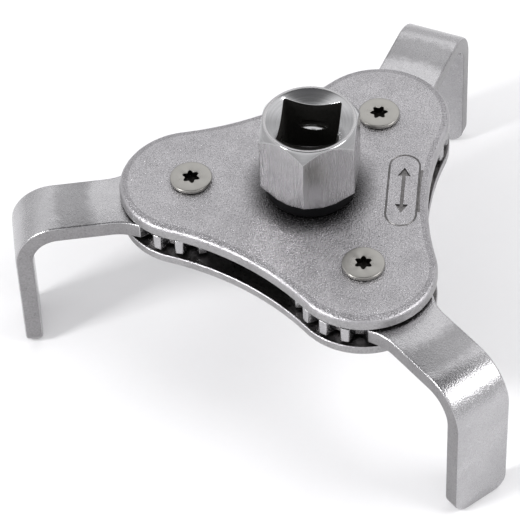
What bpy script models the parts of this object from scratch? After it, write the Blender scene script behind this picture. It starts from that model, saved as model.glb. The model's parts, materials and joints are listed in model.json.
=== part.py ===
"""Three-jaw, two-way oil filter wrench.

Two tri-lobed steel plates hold a central drive gear and three jaw arms between them. Each arm
has a toothed root that turns on a sleeve at one lobe and meshes with the drive gear, so the
jaws close together whichever way the drive turns. The drive takes a square drive tool from
above, or a spanner on its hexagon.

Units are metres, +Z is up. The origin is on the drive axis, at the floor of the square socket.
"""
import math

import bmesh
import bpy

# Gearing. The number of drive teeth is a multiple of three, so that all three arms mesh in the
# same phase. An arm is only a sector, so a full turn of its teeth need not be a whole number.
PIVOT_CIRCLE_RADIUS = 0.0270
DRIVE_TEETH = 15
ARM_TEETH = 18.5
PRESSURE_ANGLE = math.radians(20.0)
DRIVE_TOOTH_ADDENDUM = 0.0014
ARM_TOOTH_ADDENDUM = 0.0009
TOOTH_ROOT_WIDENING = math.radians(1.2)
TOOTH_FLANK_STEPS = 4
TOOTH_ROOT_CLEARANCE = 0.0003
TOOTH_BACKLASH = 0.00018

# Plates
LOBE_RADIUS = 0.0162
WAIST_ARC_RADIUS = 0.066
PLATE_THICKNESS = 0.0030
PLATE_EDGE_ROLL = 0.0011
PLATE_BURR_CHAMFER = 0.0002

# Jaw arms
ARM_THICKNESS = 0.0040
ARM_WIDTH = 0.0144
ARM_REACH = 0.0412
ARM_BEND_RADIUS = 0.0060
JAW_LENGTH = 0.0412
JAW_CORNER_RADIUS = 0.0035
ARM_EDGE_ROUNDING = 0.0006
ARM_SHOULDER_RADIUS = 0.0157
ARM_SHOULDER_ANGLE = math.radians(35.0)
ARM_SHOULDER_STEP = math.radians(2.5)
ARM_FLARE_LENGTH = 0.0060

# Drive socket
SOCKET_SQUARE = 0.0129
SOCKET_DEPTH = 0.0170
SOCKET_CORNER_RADIUS = 0.0006
SOCKET_FIRST_CORNER = math.radians(15.0)
HEX_ACROSS_FLATS = 0.0210
HEX_HEIGHT = 0.0174
HEX_CORNER_RADIUS = 0.0008
HEX_CROWN_RADIUS = 0.0103
HEX_CROWN_DROP = 0.0026
HEX_FOOT_RADIUS = 0.0106
HEX_FOOT_DROP = 0.0011
COUNTERSINK_RADIUS = 0.0097
COUNTERSINK_DEPTH = 0.0020
DETENT_RADIUS = 0.0073
DETENT_DEPTH = 0.0082
DETENT_GROOVE_RADIUS = 0.0017
NECK_RADIUS = 0.0080
GEAR_SEAT_SQUARE = 0.0110
JOURNAL_RADIUS = 0.0050
GEAR_HUB_RADIUS = 0.0092

# Collar, washers and retaining ring on the drive
COLLAR_RADIUS = 0.0103
COLLAR_HEIGHT = 0.0030
COLLAR_CHAMFER = 0.0005
THRUST_WASHER_RADIUS = 0.0085
THRUST_WASHER_THICKNESS = 0.0008
RETAINING_RING_RADIUS = 0.0068
RETAINING_RING_THICKNESS = 0.0010
RETAINING_RING_OPENING = math.radians(50.0)
RING_GROOVE_DEPTH = 0.0008
JOURNAL_END_LENGTH = 0.0012
JOURNAL_END_CHAMFER = 0.0004

# Pivot screws, sleeves and washers
SCREW_HEAD_RADIUS = 0.00475
SCREW_HEAD_HEIGHT = 0.0008
SCREW_SHANK_RADIUS = 0.0024
SCREW_LENGTH = 0.0095
STAR_RECESS_RADIUS = 0.0020
STAR_RECESS_LOBE = 0.0003
STAR_RECESS_DEPTH = 0.0018
SLEEVE_RADIUS = 0.0045
SLEEVE_SPIGOT_RADIUS = 0.0036
SLEEVE_HEAD_RADIUS = 0.0055
SLEEVE_HEAD_HEIGHT = 0.0009
PIVOT_WASHER_RADIUS = 0.0103
PIVOT_WASHER_THICKNESS = 0.0004

# Clearances
FACE_GAP = 0.0002
BORE_GAP = 0.00015

# Rest position: how far each arm is swung from the line that points straight out of its lobe
REST_SWING = math.radians(12.9)
HEX_TURN = math.radians(-1.8)
PIVOT_ANGLES = {
    "front": math.radians(-90.0),
    "right": math.radians(30.0),
    "left": math.radians(150.0),
}

ROUND_SEGMENTS = 48
SMALL_SEGMENTS = 28
CROWN_SEGMENTS = 60
BEND_SEGMENTS = 9
LOBE_SEGMENTS = 18
WAIST_SEGMENTS = 9
FLARE_STEPS = 6
CORNER_SEGMENTS = 5
ROUNDING_SEGMENTS = 3
CORNER_ARC_SEGMENTS = 3
DETENT_SEGMENTS = 6
HEAD_SEGMENTS = 36
SHARP_EDGE_ANGLE = math.radians(60.0)

# Sizes that follow from the ones above
GEAR_MODULE = 2 * PIVOT_CIRCLE_RADIUS / (DRIVE_TEETH + ARM_TEETH)
PLATE_GAP = ARM_THICKNESS + 2 * PIVOT_WASHER_THICKNESS + 4 * FACE_GAP
HEX_BOTTOM = SOCKET_DEPTH - HEX_HEIGHT
TOP_PLATE_TOP = HEX_BOTTOM - COLLAR_HEIGHT - 2 * FACE_GAP
TOP_PLATE_BOTTOM = TOP_PLATE_TOP - PLATE_THICKNESS
BOTTOM_PLATE_TOP = TOP_PLATE_BOTTOM - PLATE_GAP
BOTTOM_PLATE_BOTTOM = BOTTOM_PLATE_TOP - PLATE_THICKNESS
ARM_TOP = TOP_PLATE_BOTTOM - PIVOT_WASHER_THICKNESS - 2 * FACE_GAP
ARM_BOTTOM = ARM_TOP - ARM_THICKNESS
JAW_TIP = TOP_PLATE_TOP - JAW_LENGTH
THRUST_WASHER_TOP = BOTTOM_PLATE_BOTTOM - FACE_GAP
THRUST_WASHER_BOTTOM = THRUST_WASHER_TOP - THRUST_WASHER_THICKNESS
RING_TOP = THRUST_WASHER_BOTTOM - FACE_GAP
RING_BOTTOM = RING_TOP - RETAINING_RING_THICKNESS
GROOVE_BOTTOM = RING_BOTTOM - FACE_GAP
JOURNAL_END = GROOVE_BOTTOM - JOURNAL_END_LENGTH
DRIVE_TIP_RADIUS = GEAR_MODULE * DRIVE_TEETH / 2 + DRIVE_TOOTH_ADDENDUM
ARM_TIP_RADIUS = GEAR_MODULE * ARM_TEETH / 2 + ARM_TOOTH_ADDENDUM
DRIVE_ROOT_RADIUS = PIVOT_CIRCLE_RADIUS - ARM_TIP_RADIUS - TOOTH_ROOT_CLEARANCE
ARM_ROOT_RADIUS = PIVOT_CIRCLE_RADIUS - DRIVE_TIP_RADIUS - TOOTH_ROOT_CLEARANCE
DRIVE_REST_TURN = -REST_SWING * ARM_TEETH / DRIVE_TEETH


def clear_scene():
    """Remove every object of the scene."""
    for item in list(bpy.data.objects):
        bpy.data.objects.remove(item)


def metal(name, colour, roughness, metallic=1.0):
    """A Principled material of one colour."""
    material = bpy.data.materials.new(name)
    material.use_nodes = True
    shader = material.node_tree.nodes["Principled BSDF"]
    shader.inputs["Base Color"].default_value = (*colour, 1.0)
    shader.inputs["Roughness"].default_value = roughness
    shader.inputs["Metallic"].default_value = metallic
    return material


def solid(name, bm, material=None):
    """Turn a closed bmesh into an object of the scene."""
    bmesh.ops.recalc_face_normals(bm, faces=bm.faces)
    mesh = bpy.data.meshes.new(name)
    bm.to_mesh(mesh)
    bm.free()
    item = bpy.data.objects.new(name, mesh)
    bpy.context.collection.objects.link(item)
    if material:
        mesh.materials.append(material)
    return item


def combine(item, operation, tool):
    """Apply one exact Boolean between two solids and remove the second one."""
    tool.hide_render = True
    tool.display_type = "WIRE"
    step = item.modifiers.new(operation.lower(), "BOOLEAN")
    step.operation = operation
    step.solver = "EXACT"
    step.object = tool
    depsgraph = bpy.context.evaluated_depsgraph_get()
    mesh = bpy.data.meshes.new_from_object(item.evaluated_get(depsgraph))
    item.modifiers.clear()
    item.data = mesh
    bpy.data.objects.remove(tool)


def shade_round(item, angle=32.0):
    """Smooth shading with sharp edges wherever two faces meet at more than the angle."""
    item.data.shade_smooth()
    item.data.set_sharp_from_angle(angle=math.radians(angle))


def add_loft(bm, rings):
    """Join rings of equal length, one above the other, and close both ends."""
    loops = [[bm.verts.new(point) for point in ring] for ring in rings]
    count = len(loops[0])
    for lower, upper in zip(loops, loops[1:]):
        for i in range(count):
            j = (i + 1) % count
            bm.faces.new((lower[i], lower[j], upper[j], upper[i]))
    bm.faces.new(list(reversed(loops[0])))
    bm.faces.new(loops[-1])


def prism(name, outline, bottom, top, material=None):
    """A flat outline given as (x, y) points, raised from one level to another."""
    bm = bmesh.new()
    add_loft(bm, [[(x, y, level) for x, y in outline] for level in (bottom, top)])
    return solid(name, bm, material)


def turned(name, profile, segments, material=None):
    """Turn a profile of (radius, z) points about Z; a profile off the axis makes a ring."""
    bm = bmesh.new()
    on_axis = profile[0][0] == 0.0
    loops = []
    for radius, level in profile:
        if radius == 0.0:
            loops.append([bm.verts.new((0.0, 0.0, level))])
        else:
            loops.append([bm.verts.new((x, y, level)) for x, y in circle(radius, segments)])
    pairs = list(zip(loops, loops[1:]))
    if not on_axis:
        pairs.append((loops[-1], loops[0]))
    for first, second in pairs:
        for i in range(segments):
            j = (i + 1) % segments
            corners = [first[i % len(first)], first[j % len(first)],
                       second[j % len(second)], second[i % len(second)]]
            bm.faces.new(list(dict.fromkeys(corners)))
    return solid(name, bm, material)


def circle(radius, segments):
    """Points of a circle about the origin."""
    steps = [2 * math.pi * i / segments for i in range(segments)]
    return [(radius * math.cos(angle), radius * math.sin(angle)) for angle in steps]


def arc(centre, radius, start, end, segments):
    """Points of an arc, both ends included."""
    angles = [start + (end - start) * i / segments for i in range(segments + 1)]
    return [(centre[0] + radius * math.cos(a), centre[1] + radius * math.sin(a)) for a in angles]


def rounded_polygon(sides, across_flats, corner_radius, first_corner=0.0):
    """Outline of a regular polygon with rounded corners, centred on the origin."""
    half_turn = math.pi / sides
    reach = (across_flats / 2 - corner_radius) / math.cos(half_turn)
    points = []
    for i in range(sides):
        angle = first_corner + 2 * half_turn * i
        centre = (reach * math.cos(angle), reach * math.sin(angle))
        points += arc(centre, corner_radius, angle - half_turn, angle + half_turn, CORNER_ARC_SEGMENTS)
    return points


def involute(angle):
    """The involute function, used for the thickness of a gear tooth."""
    return math.tan(angle) - angle


def tooth_outline(teeth, tip_radius, root_radius, centre):
    """One gear tooth about the given angle, from root to root, as (radius, angle) points."""
    pitch_radius = GEAR_MODULE * teeth / 2
    base_radius = pitch_radius * math.cos(PRESSURE_ANGLE)
    flank_start = max(base_radius, root_radius)
    half_at_pitch = math.pi / (2 * teeth) - TOOTH_BACKLASH / (4 * pitch_radius)
    flank = []
    for step in range(TOOTH_FLANK_STEPS + 1):
        radius = flank_start + (tip_radius - flank_start) * step / TOOTH_FLANK_STEPS
        pressure = math.acos(min(1.0, base_radius / radius))
        flank.append((radius, half_at_pitch + involute(PRESSURE_ANGLE) - involute(pressure)))
    flank.insert(0, (root_radius, flank[0][1] + TOOTH_ROOT_WIDENING))
    rising = [(radius, centre - half) for radius, half in flank]
    falling = [(radius, centre + half) for radius, half in reversed(flank)]
    return rising + falling


def gear_points(teeth, tip_radius, root_radius, centres):
    """Outline points of the teeth whose centre angles are given."""
    points = []
    for centre in centres:
        for radius, angle in tooth_outline(teeth, tip_radius, root_radius, centre):
            points.append((radius * math.cos(angle), radius * math.sin(angle)))
    return points


def plate_outline(inset):
    """Tri-lobed outline: round lobes about the pivots, joined by hollow waist arcs."""
    lobe = LOBE_RADIUS - inset
    waist = WAIST_ARC_RADIUS + inset
    half_sector = math.pi / len(PIVOT_ANGLES)
    reach = LOBE_RADIUS + WAIST_ARC_RADIUS
    offset = PIVOT_CIRCLE_RADIUS * math.sin(half_sector)
    waist_distance = PIVOT_CIRCLE_RADIUS * math.cos(half_sector) + math.sqrt(reach ** 2 - offset ** 2)
    points = []
    for angle in PIVOT_ANGLES.values():
        pivot = (PIVOT_CIRCLE_RADIUS * math.cos(angle), PIVOT_CIRCLE_RADIUS * math.sin(angle))
        waist_angle = angle + half_sector
        hollow = (waist_distance * math.cos(waist_angle), waist_distance * math.sin(waist_angle))
        spread = math.atan2(hollow[1] - pivot[1], hollow[0] - pivot[0]) - angle
        spread = math.atan2(math.sin(spread), math.cos(spread))
        points += arc(pivot, lobe, angle - spread, angle + spread, LOBE_SEGMENTS)
        start = angle + spread + math.pi
        end = 2 * (waist_angle + math.pi) - start
        points += arc(hollow, waist, start, end, WAIST_SEGMENTS)[1:-1]
    return points


def pivot_hole(name, angle, radius, bottom, top):
    """A cutter for a round hole at one pivot."""
    hole = prism(name, circle(radius, SMALL_SEGMENTS), bottom, top)
    hole.location = (PIVOT_CIRCLE_RADIUS * math.cos(angle), PIVOT_CIRCLE_RADIUS * math.sin(angle), 0.0)
    return hole


def make_plate(name, outer_face, inner_face, centre_hole, pivot_radius, material):
    """A plate with its rolled edge on the outer face and holes for the drive and the pivots."""
    direction = math.copysign(1.0, outer_face - inner_face)
    levels = [(PLATE_BURR_CHAMFER, inner_face), (0.0, inner_face + direction * PLATE_BURR_CHAMFER)]
    for step in range(ROUNDING_SEGMENTS + 1):
        turn = math.pi / 2 * step / ROUNDING_SEGMENTS
        inset = PLATE_EDGE_ROLL * (1 - math.cos(turn))
        levels.append((inset, outer_face - direction * PLATE_EDGE_ROLL * (1 - math.sin(turn))))
    bm = bmesh.new()
    add_loft(bm, [[(x, y, level) for x, y in plate_outline(inset)] for inset, level in levels])
    plate = solid(name, bm, material)
    below = min(outer_face, inner_face) - PLATE_THICKNESS
    above = max(outer_face, inner_face) + PLATE_THICKNESS
    combine(plate, "DIFFERENCE", prism("hole", circle(centre_hole, ROUND_SEGMENTS), below, above))
    for angle in PIVOT_ANGLES.values():
        combine(plate, "DIFFERENCE", pivot_hole("hole", angle, pivot_radius, below, above))
    shade_round(plate)
    return plate


def make_drive_socket(material):
    """Hexagon with its square socket, the neck, the gear seat and the lower journal."""
    corner = HEX_ACROSS_FLATS / math.sqrt(3)
    crown = corner + FACE_GAP
    slope = (corner - HEX_CROWN_RADIUS) / HEX_CROWN_DROP
    foot_slope = (corner - HEX_FOOT_RADIUS) / HEX_FOOT_DROP
    envelope = turned("envelope", [
        (0.0, SOCKET_DEPTH),
        (HEX_CROWN_RADIUS, SOCKET_DEPTH),
        (crown, SOCKET_DEPTH - (crown - HEX_CROWN_RADIUS) / slope),
        (crown, HEX_BOTTOM + (crown - HEX_FOOT_RADIUS) / foot_slope),
        (HEX_FOOT_RADIUS, HEX_BOTTOM),
        (0.0, HEX_BOTTOM),
    ], CROWN_SEGMENTS)
    outline = rounded_polygon(6, HEX_ACROSS_FLATS, HEX_CORNER_RADIUS)
    drive = prism("drive_socket", outline,
                  HEX_BOTTOM - FACE_GAP, SOCKET_DEPTH + FACE_GAP, material)
    combine(drive, "INTERSECT", envelope)
    stem = turned("stem", [
        (0.0, HEX_BOTTOM + FACE_GAP),
        (NECK_RADIUS, HEX_BOTTOM + FACE_GAP),
        (NECK_RADIUS, TOP_PLATE_BOTTOM + FACE_GAP),
        (0.0, TOP_PLATE_BOTTOM + FACE_GAP),
    ], ROUND_SEGMENTS)
    combine(drive, "UNION", stem)
    seat_top = TOP_PLATE_BOTTOM + 2 * FACE_GAP
    seat = prism("seat", rounded_polygon(4, GEAR_SEAT_SQUARE, SOCKET_CORNER_RADIUS, math.pi / 4),
                 BOTTOM_PLATE_TOP + FACE_GAP, seat_top)
    combine(drive, "UNION", seat)
    groove_radius = JOURNAL_RADIUS - RING_GROOVE_DEPTH
    journal = turned("journal", [
        (0.0, seat_top),
        (JOURNAL_RADIUS, seat_top),
        (JOURNAL_RADIUS, RING_TOP + FACE_GAP),
        (groove_radius, RING_TOP + FACE_GAP),
        (groove_radius, GROOVE_BOTTOM),
        (JOURNAL_RADIUS, GROOVE_BOTTOM),
        (JOURNAL_RADIUS, JOURNAL_END + JOURNAL_END_CHAMFER),
        (JOURNAL_RADIUS - JOURNAL_END_CHAMFER, JOURNAL_END),
        (0.0, JOURNAL_END),
    ], SMALL_SEGMENTS)
    combine(drive, "UNION", journal)
    above = SOCKET_DEPTH + HEX_HEIGHT
    square = prism("square", rounded_polygon(4, SOCKET_SQUARE, SOCKET_CORNER_RADIUS, SOCKET_FIRST_CORNER),
                   0.0, above)
    combine(drive, "DIFFERENCE", square)
    cone_slope = (COUNTERSINK_RADIUS - SOCKET_SQUARE / 2) / COUNTERSINK_DEPTH
    cone = turned("cone", [
        (0.0, SOCKET_DEPTH + COUNTERSINK_DEPTH),
        (COUNTERSINK_RADIUS + cone_slope * COUNTERSINK_DEPTH, SOCKET_DEPTH + COUNTERSINK_DEPTH),
        (SOCKET_SQUARE / 2 - cone_slope * FACE_GAP, SOCKET_DEPTH - COUNTERSINK_DEPTH - FACE_GAP),
        (0.0, SOCKET_DEPTH - COUNTERSINK_DEPTH - FACE_GAP),
    ], CROWN_SEGMENTS)
    combine(drive, "DIFFERENCE", cone)
    detent_level = SOCKET_DEPTH - DETENT_DEPTH
    detent_centre = (DETENT_RADIUS - DETENT_GROOVE_RADIUS, detent_level)
    inner_radius = DETENT_GROOVE_RADIUS
    profile = arc(detent_centre, DETENT_GROOVE_RADIUS, math.pi / 2, -math.pi / 2, DETENT_SEGMENTS)
    profile += [(inner_radius, detent_level - DETENT_GROOVE_RADIUS),
                (inner_radius, detent_level + DETENT_GROOVE_RADIUS)]
    combine(drive, "DIFFERENCE", turned("detent", profile, ROUND_SEGMENTS))
    drive.rotation_euler.z = HEX_TURN
    shade_round(drive, 20.0)
    return drive


def make_sun_gear(material):
    """Drive gear with a raised hub on both faces and a square hole for its seat."""
    pitch = 2 * math.pi / DRIVE_TEETH
    centres = [pitch * i for i in range(DRIVE_TEETH)]
    outline = gear_points(DRIVE_TEETH, DRIVE_TIP_RADIUS, DRIVE_ROOT_RADIUS, centres)
    gear = prism("sun_gear", outline, ARM_BOTTOM, ARM_TOP, material)
    hub = prism("hub", circle(GEAR_HUB_RADIUS, ROUND_SEGMENTS),
                BOTTOM_PLATE_TOP + FACE_GAP, TOP_PLATE_BOTTOM - FACE_GAP)
    combine(gear, "UNION", hub)
    hole_side = GEAR_SEAT_SQUARE + 2 * BORE_GAP
    hole = prism("hole", rounded_polygon(4, hole_side, SOCKET_CORNER_RADIUS, math.pi / 4),
                 BOTTOM_PLATE_TOP - PLATE_GAP, TOP_PLATE_BOTTOM + PLATE_GAP)
    hole.rotation_euler.z = HEX_TURN - PIVOT_ANGLES["front"] - DRIVE_REST_TURN
    combine(gear, "DIFFERENCE", hole)
    gear.rotation_euler.z = PIVOT_ANGLES["front"] + DRIVE_REST_TURN
    return gear


def make_arm(name, angle, material):
    """Toothed root, flat strip, bend and jaw of one arm, with its origin on the pivot axis."""
    half_width = ARM_WIDTH / 2
    bend_start = ARM_REACH - ARM_BEND_RADIUS - ARM_THICKNESS
    pitch = 2 * math.pi / ARM_TEETH
    centres = [math.pi + pitch * (i + 0.5) for i in range(-DRIVE_TEETH, DRIVE_TEETH)]
    solid_end = ARM_SHOULDER_ANGLE + ARM_SHOULDER_STEP
    first_tooth = solid_end + pitch / 2
    centres = [centre for centre in centres if first_tooth <= centre <= 2 * math.pi - first_tooth]
    corner = (ARM_SHOULDER_RADIUS * math.cos(ARM_SHOULDER_ANGLE),
              ARM_SHOULDER_RADIUS * math.sin(ARM_SHOULDER_ANGLE))
    flare_start = corner[0] + ARM_FLARE_LENGTH
    side = []
    for step in range(FLARE_STEPS + 1):
        t = step / FLARE_STEPS
        side.append((flare_start - t * ARM_FLARE_LENGTH, half_width + t ** 2 * (corner[1] - half_width)))
    side.insert(0, (bend_start, half_width))
    side.append((ARM_ROOT_RADIUS * math.cos(solid_end), ARM_ROOT_RADIUS * math.sin(solid_end)))
    outline = side + gear_points(ARM_TEETH, ARM_TIP_RADIUS, ARM_ROOT_RADIUS, centres)
    outline += [(x, -y) for x, y in reversed(side)]
    bm = bmesh.new()
    add_loft(bm, [[(x, y, level) for x, y in outline] for level in (ARM_BOTTOM, ARM_TOP)])
    bmesh.ops.recalc_face_normals(bm, faces=bm.faces)
    end_face = max(bm.faces, key=lambda face: face.calc_center_median().x)
    loop = list(end_face.verts)
    bm.faces.remove(end_face)
    bend_centre = ARM_BOTTOM - ARM_BEND_RADIUS
    places = [(vert.co.z - bend_centre, vert.co.y) for vert in loop]
    path = []
    for step in range(1, BEND_SEGMENTS + 1):
        turn = math.pi / 2 * step / BEND_SEGMENTS
        path.append([(bend_start + height * math.sin(turn), y, bend_centre + height * math.cos(turn))
                     for height, y in places])
    path.append([(bend_start + height, y, JAW_TIP) for height, y in places])
    for ring in path:
        grown = [bm.verts.new(point) for point in ring]
        for i in range(len(loop)):
            j = (i + 1) % len(loop)
            bm.faces.new((loop[i], loop[j], grown[j], grown[i]))
        loop = grown
    bm.faces.new(loop)
    bmesh.ops.recalc_face_normals(bm, faces=bm.faces)
    corner_edges = [edge for edge in bm.edges if all(vert.co.z < JAW_TIP + FACE_GAP for vert in edge.verts)
                    and abs(edge.verts[0].co.y - edge.verts[1].co.y) < FACE_GAP]
    bmesh.ops.bevel(bm, geom=corner_edges, offset=JAW_CORNER_RADIUS, segments=CORNER_SEGMENTS,
                    profile=0.5, affect="EDGES")
    rounded = []
    for edge in bm.edges:
        middle = (edge.verts[0].co + edge.verts[1].co) / 2
        if middle.x > flare_start and edge.calc_face_angle(0.0) > SHARP_EDGE_ANGLE:
            rounded.append(edge)
    bmesh.ops.bevel(bm, geom=rounded, offset=ARM_EDGE_ROUNDING, segments=ROUNDING_SEGMENTS,
                    profile=0.5, affect="EDGES")
    arm = solid(name, bm, material)
    bore = prism("bore", circle(SLEEVE_RADIUS + BORE_GAP, ROUND_SEGMENTS),
                 ARM_BOTTOM - ARM_THICKNESS, ARM_TOP + ARM_THICKNESS)
    combine(arm, "DIFFERENCE", bore)
    place_at_pivot(arm, angle)
    arm.rotation_euler.z = angle + REST_SWING
    shade_round(arm)
    return arm


def place_at_pivot(item, angle):
    """Move a piece that was made about Z to one of the pivots."""
    item.location = (PIVOT_CIRCLE_RADIUS * math.cos(angle), PIVOT_CIRCLE_RADIUS * math.sin(angle), 0.0)


def make_collar(material):
    """Black collar round the neck, between the hexagon and the top plate."""
    top = HEX_BOTTOM - FACE_GAP
    bottom = TOP_PLATE_TOP + FACE_GAP
    inner = NECK_RADIUS + BORE_GAP
    collar = turned("drive_collar", [
        (inner, top), (COLLAR_RADIUS - COLLAR_CHAMFER, top), (COLLAR_RADIUS, top - COLLAR_CHAMFER),
        (COLLAR_RADIUS, bottom + COLLAR_CHAMFER), (COLLAR_RADIUS - COLLAR_CHAMFER, bottom), (inner, bottom),
    ], ROUND_SEGMENTS, material)
    shade_round(collar)


def make_washer(name, inner, outer, bottom, top, segments, material):
    """A flat round washer about Z."""
    washer = turned(name, [(inner, top), (outer, top), (outer, bottom), (inner, bottom)],
                    segments, material)
    shade_round(washer)
    return washer


def make_retaining_ring(material):
    """Open spring ring in the groove of the journal."""
    inner = JOURNAL_RADIUS - RING_GROOVE_DEPTH + BORE_GAP
    start = RETAINING_RING_OPENING / 2
    end = 2 * math.pi - start
    outer_points = arc((0.0, 0.0), RETAINING_RING_RADIUS, start, end, SMALL_SEGMENTS)
    inner_points = arc((0.0, 0.0), inner, end, start, SMALL_SEGMENTS)
    ring = prism("retaining_ring", outer_points + inner_points, RING_BOTTOM, RING_TOP, material)
    shade_round(ring)


def star_outline():
    """Six-lobed outline of the screw's drive recess."""
    points = []
    for step in range(HEAD_SEGMENTS):
        angle = 2 * math.pi * step / HEAD_SEGMENTS
        radius = STAR_RECESS_RADIUS - STAR_RECESS_LOBE + STAR_RECESS_LOBE * math.cos(6 * angle)
        points.append((radius * math.cos(angle), radius * math.sin(angle)))
    return points


def make_pivot_screw(name, angle, material):
    """Low flat-headed screw with a star recess; its shank goes down into the sleeve."""
    seat = TOP_PLATE_TOP + FACE_GAP
    top = seat + SCREW_HEAD_HEIGHT
    edge = SCREW_HEAD_HEIGHT / 2
    end = seat - SCREW_LENGTH
    edge_centre = (SCREW_HEAD_RADIUS - edge, top - edge)
    profile = [(0.0, top)] + arc(edge_centre, edge, math.pi / 2, 0.0, ROUNDING_SEGMENTS)
    profile += [(SCREW_HEAD_RADIUS, seat), (SCREW_SHANK_RADIUS, seat), (SCREW_SHANK_RADIUS, end), (0.0, end)]
    screw = turned(name, profile, HEAD_SEGMENTS, material)
    recess = prism("recess", star_outline(), top - STAR_RECESS_DEPTH, top + STAR_RECESS_DEPTH)
    combine(screw, "DIFFERENCE", recess)
    place_at_pivot(screw, angle)
    shade_round(screw)


def make_pivot_sleeve(name, angle, material):
    """Threaded sleeve: spacer between the plates, spigot and head at the bottom plate."""
    bore = SCREW_SHANK_RADIUS + BORE_GAP
    top = TOP_PLATE_BOTTOM - FACE_GAP
    shoulder = BOTTOM_PLATE_TOP + FACE_GAP
    head_top = BOTTOM_PLATE_BOTTOM - FACE_GAP
    head_bottom = head_top - SLEEVE_HEAD_HEIGHT
    edge = SLEEVE_HEAD_HEIGHT / 2
    sleeve = turned(name, [
        (bore, top), (SLEEVE_RADIUS, top), (SLEEVE_RADIUS, shoulder), (SLEEVE_SPIGOT_RADIUS, shoulder),
        (SLEEVE_SPIGOT_RADIUS, head_top), (SLEEVE_HEAD_RADIUS, head_top),
        (SLEEVE_HEAD_RADIUS, head_bottom + edge), (SLEEVE_HEAD_RADIUS - edge, head_bottom),
        (bore, head_bottom),
    ], SMALL_SEGMENTS, material)
    place_at_pivot(sleeve, angle)
    shade_round(sleeve)


def main():
    """Make every piece of the wrench."""
    clear_scene()
    plate_steel = metal("plate_steel", (0.52, 0.51, 0.52), 0.42)
    arm_steel = metal("arm_steel", (0.55, 0.55, 0.56), 0.36)
    drive_steel = metal("drive_steel", (0.62, 0.62, 0.62), 0.25)
    gear_steel = metal("gear_steel", (0.50, 0.50, 0.50), 0.40)
    screw_steel = metal("screw_steel", (0.58, 0.57, 0.54), 0.32)
    sleeve_steel = metal("sleeve_steel", (0.55, 0.55, 0.54), 0.35)
    washer_steel = metal("washer_steel", (0.45, 0.45, 0.45), 0.40)
    ring_steel = metal("ring_steel", (0.12, 0.12, 0.13), 0.45)
    black_nylon = metal("black_nylon", (0.012, 0.012, 0.013), 0.45, 0.0)

    make_plate("top_plate", TOP_PLATE_TOP, TOP_PLATE_BOTTOM, NECK_RADIUS + BORE_GAP,
               SCREW_SHANK_RADIUS + BORE_GAP, plate_steel)
    make_plate("bottom_plate", BOTTOM_PLATE_BOTTOM, BOTTOM_PLATE_TOP, JOURNAL_RADIUS + BORE_GAP,
               SLEEVE_SPIGOT_RADIUS + BORE_GAP, plate_steel)
    make_drive_socket(drive_steel)
    make_sun_gear(gear_steel)
    make_collar(black_nylon)
    make_washer("thrust_washer", JOURNAL_RADIUS + BORE_GAP, THRUST_WASHER_RADIUS,
                THRUST_WASHER_BOTTOM, THRUST_WASHER_TOP, SMALL_SEGMENTS, washer_steel)
    make_retaining_ring(ring_steel)
    for side, angle in PIVOT_ANGLES.items():
        make_arm("jaw_arm_" + side, angle, arm_steel)
        make_pivot_screw("pivot_screw_" + side, angle, screw_steel)
        make_pivot_sleeve("pivot_sleeve_" + side, angle, sleeve_steel)
        for place, top in (("upper", TOP_PLATE_BOTTOM - FACE_GAP), ("lower", ARM_BOTTOM - FACE_GAP)):
            washer = make_washer(place + "_washer_" + side, SLEEVE_RADIUS + BORE_GAP,
                                 PIVOT_WASHER_RADIUS, top - PIVOT_WASHER_THICKNESS, top,
                                 SMALL_SEGMENTS, washer_steel)
            place_at_pivot(washer, angle)


main()
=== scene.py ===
"""Looks of the three-jaw oil filter wrench: fine shapes, plated and brushed metals, studio."""
import json
import math

import bmesh
import bpy
from mathutils import Matrix, Vector


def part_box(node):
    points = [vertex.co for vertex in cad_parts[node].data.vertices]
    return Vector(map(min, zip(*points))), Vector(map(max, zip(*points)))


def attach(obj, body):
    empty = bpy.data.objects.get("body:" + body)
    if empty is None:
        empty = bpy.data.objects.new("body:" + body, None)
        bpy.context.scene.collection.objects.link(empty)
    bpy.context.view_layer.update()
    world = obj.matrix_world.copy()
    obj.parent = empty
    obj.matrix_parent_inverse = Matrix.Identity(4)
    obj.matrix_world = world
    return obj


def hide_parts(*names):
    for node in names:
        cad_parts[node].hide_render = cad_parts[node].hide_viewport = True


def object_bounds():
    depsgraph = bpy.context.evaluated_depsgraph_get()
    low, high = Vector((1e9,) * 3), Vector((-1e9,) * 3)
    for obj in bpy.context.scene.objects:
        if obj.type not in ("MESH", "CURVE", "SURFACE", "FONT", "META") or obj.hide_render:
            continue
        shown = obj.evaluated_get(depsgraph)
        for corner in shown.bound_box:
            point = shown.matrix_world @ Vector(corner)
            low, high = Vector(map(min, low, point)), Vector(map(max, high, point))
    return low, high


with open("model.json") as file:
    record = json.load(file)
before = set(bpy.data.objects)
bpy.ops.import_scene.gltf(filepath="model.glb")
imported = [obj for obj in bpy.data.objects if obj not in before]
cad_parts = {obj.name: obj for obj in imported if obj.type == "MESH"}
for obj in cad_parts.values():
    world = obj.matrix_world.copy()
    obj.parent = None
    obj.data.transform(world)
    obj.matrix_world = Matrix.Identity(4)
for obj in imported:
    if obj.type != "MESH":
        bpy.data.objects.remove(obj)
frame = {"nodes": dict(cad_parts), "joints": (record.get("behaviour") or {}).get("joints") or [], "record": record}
cad_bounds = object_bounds()

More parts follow.
